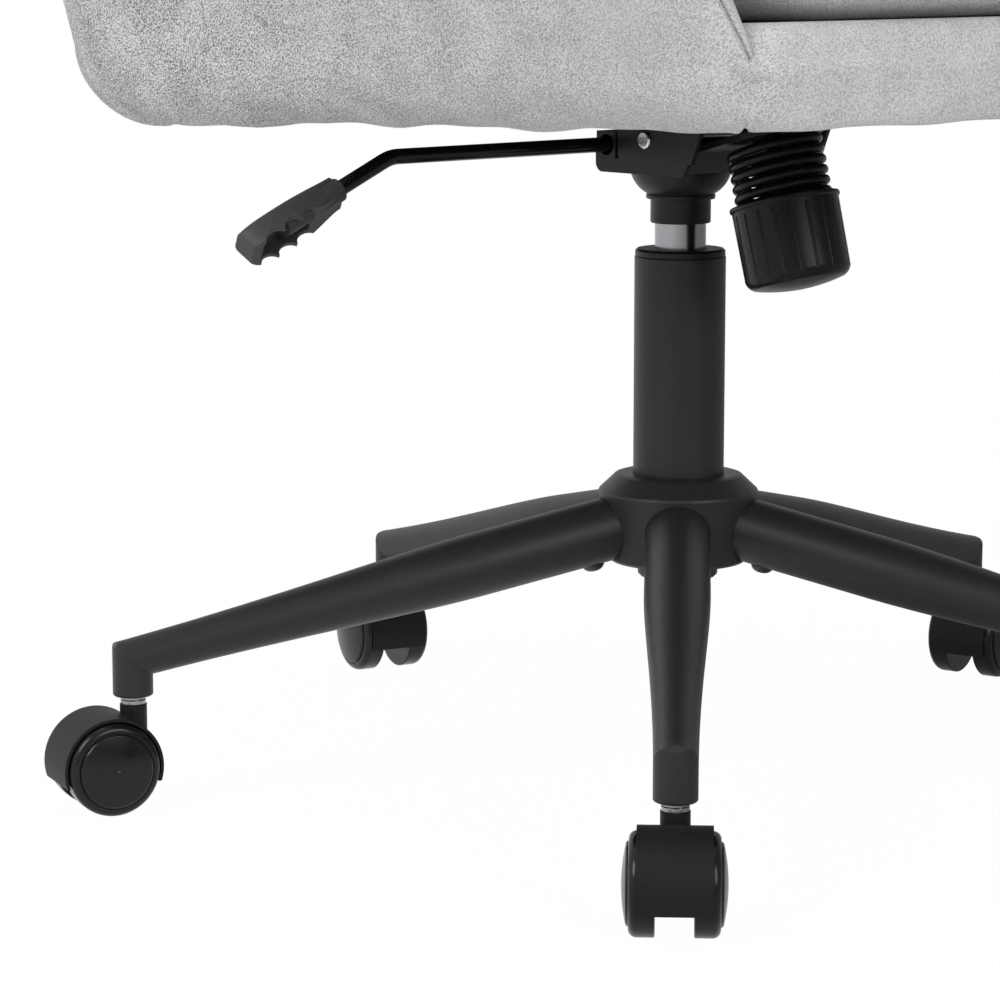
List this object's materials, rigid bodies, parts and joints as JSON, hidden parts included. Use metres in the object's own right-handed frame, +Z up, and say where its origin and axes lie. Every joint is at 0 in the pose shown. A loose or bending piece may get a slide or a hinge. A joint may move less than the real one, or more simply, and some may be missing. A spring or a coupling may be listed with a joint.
{
  "type": "swivel tub chair",
  "caption": "Upholstered swivel tub chair on a caster star base, with gas height lift, sprung tilt, tension knob and side lever.",
  "frame": {"origin": "on the floor under the column axis", "axes": "+Z up, the sitter faces -Y, the lever is on the sitter's right at -X"},
  "size_m": [0.6685, 0.689, 0.8159],
  "materials": {
    "bright_steel": "ground and chromed",
    "bush_plastic": "plain",
    "cover_black": "non-woven",
    "fabric_grey": "heathered weave",
    "fastener": "black zinc",
    "grip_plastic": "matt",
    "hood_plastic": "fine grain",
    "knob_plastic": "semi gloss",
    "lever_black": "gloss",
    "mechanism_black": "satin",
    "plywood": "sanded",
    "powder_black": "satin powder coat",
    "seal_rubber": "plain",
    "spring_black": "satin",
    "steel": "ground",
    "wheel_plastic": "semi gloss"
  },
  "bodies": {
    "base": {"base_hub": "powder_black", "leg_1": "powder_black", "leg_2": "powder_black", "leg_3": "powder_black", "leg_4": "powder_black", "leg_5": "powder_black", "leg_bolts": "fastener", "caster_stems": "steel", "stem_grip_rings": "steel", "column_tube": "powder_black", "column_bush": "bush_plastic", "bearing_lower_race": "steel", "bearing_balls": "steel"},
    "caster_1": {"caster_hood_1": "hood_plastic", "caster_axle_1": "steel"},
    "wheel_1_left": {"wheel_1_left": "wheel_plastic"},
    "wheel_1_right": {"wheel_1_right": "wheel_plastic"},
    "caster_2": {"caster_hood_2": "hood_plastic", "caster_axle_2": "steel"},
    "wheel_2_left": {"wheel_2_left": "wheel_plastic"},
    "wheel_2_right": {"wheel_2_right": "wheel_plastic"},
    "caster_3": {"caster_hood_3": "hood_plastic", "caster_axle_3": "steel"},
    "wheel_3_left": {"wheel_3_left": "wheel_plastic"},
    "wheel_3_right": {"wheel_3_right": "wheel_plastic"},
    "caster_4": {"caster_hood_4": "hood_plastic", "caster_axle_4": "steel"},
    "wheel_4_left": {"wheel_4_left": "wheel_plastic"},
    "wheel_4_right": {"wheel_4_right": "wheel_plastic"},
    "caster_5": {"caster_hood_5": "hood_plastic", "caster_axle_5": "steel"},
    "wheel_5_left": {"wheel_5_left": "wheel_plastic"},
    "wheel_5_right": {"wheel_5_right": "wheel_plastic"},
    "swivel": {"piston_rod": "steel", "rod_clip": "steel", "gas_piston": "steel", "bearing_upper_race": "steel"},
    "lift": {"gas_cylinder": "bright_steel", "cylinder_seal": "seal_rubber", "taper_cone": "mechanism_black", "tilt_box": "mechanism_black", "tilt_axle": "steel", "tension_spring": "spring_black"},
    "valve": {"release_pin": "steel"},
    "lever_slide": {"lever_guide": "bush_plastic"},
    "lever": {"lever_rod": "lever_black", "lever_grip": "grip_plastic"},
    "seat": {"seat_plate": "mechanism_black", "seat_bolts": "fastener", "seat_nuts": "fastener", "tension_bolt": "fastener", "tub_shell": "fabric_grey", "seat_base": "fabric_grey", "seat_board": "plywood", "dust_cover": "cover_black", "seat_cushion": "fabric_grey"},
    "washer": {"spring_washer": "steel"},
    "knob": {"tension_knob": "knob_plastic", "knob_nut": "fastener"}
  },
  "joints": [
    {"name": "caster_1_swivel", "type": "hinge", "parent": "base", "child": "caster_1", "pos_m": [-0.21567, -0.21567, 0.0605], "axis": [0, 0, 1], "continuous": true},
    {"name": "wheel_1_left_spin", "type": "hinge", "parent": "caster_1", "child": "wheel_1_left", "pos_m": [-0.22769, -0.22769, 0.025], "axis": [-0.7071, 0.7071, 0], "continuous": true},
    {"name": "wheel_1_right_spin", "type": "hinge", "parent": "caster_1", "child": "wheel_1_right", "pos_m": [-0.22769, -0.22769, 0.025], "axis": [-0.7071, 0.7071, 0], "continuous": true},
    {"name": "caster_2_swivel", "type": "hinge", "parent": "base", "child": "caster_2", "pos_m": [-0.27176, 0.13847, 0.0605], "axis": [0, 0, 1], "continuous": true},
    {"name": "wheel_2_left_spin", "type": "hinge", "parent": "caster_2", "child": "wheel_2_left", "pos_m": [-0.28801, 0.14344, 0.025], "axis": [0.2924, 0.9563, 0], "continuous": true},
    {"name": "wheel_2_right_spin", "type": "hinge", "parent": "caster_2", "child": "wheel_2_right", "pos_m": [-0.28801, 0.14344, 0.025], "axis": [0.2924, 0.9563, 0], "continuous": true},
    {"name": "caster_3_swivel", "type": "hinge", "parent": "base", "child": "caster_3", "pos_m": [0.04771, 0.30124, 0.0605], "axis": [0, 0, 1], "continuous": true},
    {"name": "wheel_3_left_spin", "type": "hinge", "parent": "caster_3", "child": "wheel_3_left", "pos_m": [0.05211, 0.31767, 0.025], "axis": [0.9659, -0.2588, 0], "continuous": true},
    {"name": "wheel_3_right_spin", "type": "hinge", "parent": "caster_3", "child": "wheel_3_right", "pos_m": [0.05211, 0.31767, 0.025], "axis": [0.9659, -0.2588, 0], "continuous": true},
    {"name": "caster_4_swivel", "type": "hinge", "parent": "base", "child": "caster_4", "pos_m": [0.30124, 0.04771, 0.0605], "axis": [0, 0, 1], "continuous": true},
    {"name": "wheel_4_left_spin", "type": "hinge", "parent": "caster_4", "child": "wheel_4_left", "pos_m": [0.31767, 0.05211, 0.025], "axis": [0.2588, -0.9659, 0], "continuous": true},
    {"name": "wheel_4_right_spin", "type": "hinge", "parent": "caster_4", "child": "wheel_4_right", "pos_m": [0.31767, 0.05211, 0.025], "axis": [0.2588, -0.9659, 0], "continuous": true},
    {"name": "caster_5_swivel", "type": "hinge", "parent": "base", "child": "caster_5", "pos_m": [0.13847, -0.27176, 0.0605], "axis": [0, 0, 1], "continuous": true},
    {"name": "wheel_5_left_spin", "type": "hinge", "parent": "caster_5", "child": "wheel_5_left", "pos_m": [0.14344, -0.28801, 0.025], "axis": [-0.9563, -0.2924, 0], "continuous": true},
    {"name": "wheel_5_right_spin", "type": "hinge", "parent": "caster_5", "child": "wheel_5_right", "pos_m": [0.14344, -0.28801, 0.025], "axis": [-0.9563, -0.2924, 0], "continuous": true},
    {"name": "column_swivel", "type": "hinge", "parent": "base", "child": "swivel", "pos_m": [0, 0, 0.11387], "axis": [0, 0, 1], "continuous": true},
    {"name": "seat_lift", "type": "slide", "parent": "swivel", "child": "lift", "axis": [0, 0, 1], "range_m": [0, 0.08]},
    {"name": "seat_tilt", "type": "hinge", "parent": "lift", "child": "seat", "pos_m": [0, -0.023, 0.35432], "axis": [-1, 0, 0], "range_deg": [0, 12], "stiffness_Nm_per_rad": 160, "springref_deg": -12.61, "deforming": ["tension_spring"]},
    {"name": "lever_pull", "type": "slide", "parent": "lift", "child": "lever_slide", "axis": [-1, 0, 0], "range_m": [0, 0.012]},
    {"name": "lever_raise", "type": "hinge", "parent": "lever_slide", "child": "lever", "pos_m": [-0.0447, 0.008, 0.35052], "axis": [0, 1, 0], "range_deg": [0, 3.5], "stiffness_Nm_per_rad": 4, "springref_deg": -6.88},
    {"name": "valve_press", "type": "slide", "parent": "lift", "child": "valve", "axis": [0, 0, 1], "range_m": [-0.0028, 0]},
    {"name": "washer_slide", "type": "slide", "parent": "seat", "child": "washer", "axis": [0, -0.2672, -0.9636], "range_m": [0, 0.00375]},
    {"name": "knob_turn", "type": "hinge", "parent": "washer", "child": "knob", "pos_m": [0, -0.068, 0.35632], "axis": [0, -0.2672, -0.9636], "range_deg": [0, 1080]}
  ],
  "couplings": [
    {"joint": "valve_press", "follows": "lever_raise", "m_per_rad": -0.0447},
    {"joint": "knob_turn", "follows": "washer_slide", "rad_per_m": 5026.5}
  ]
}
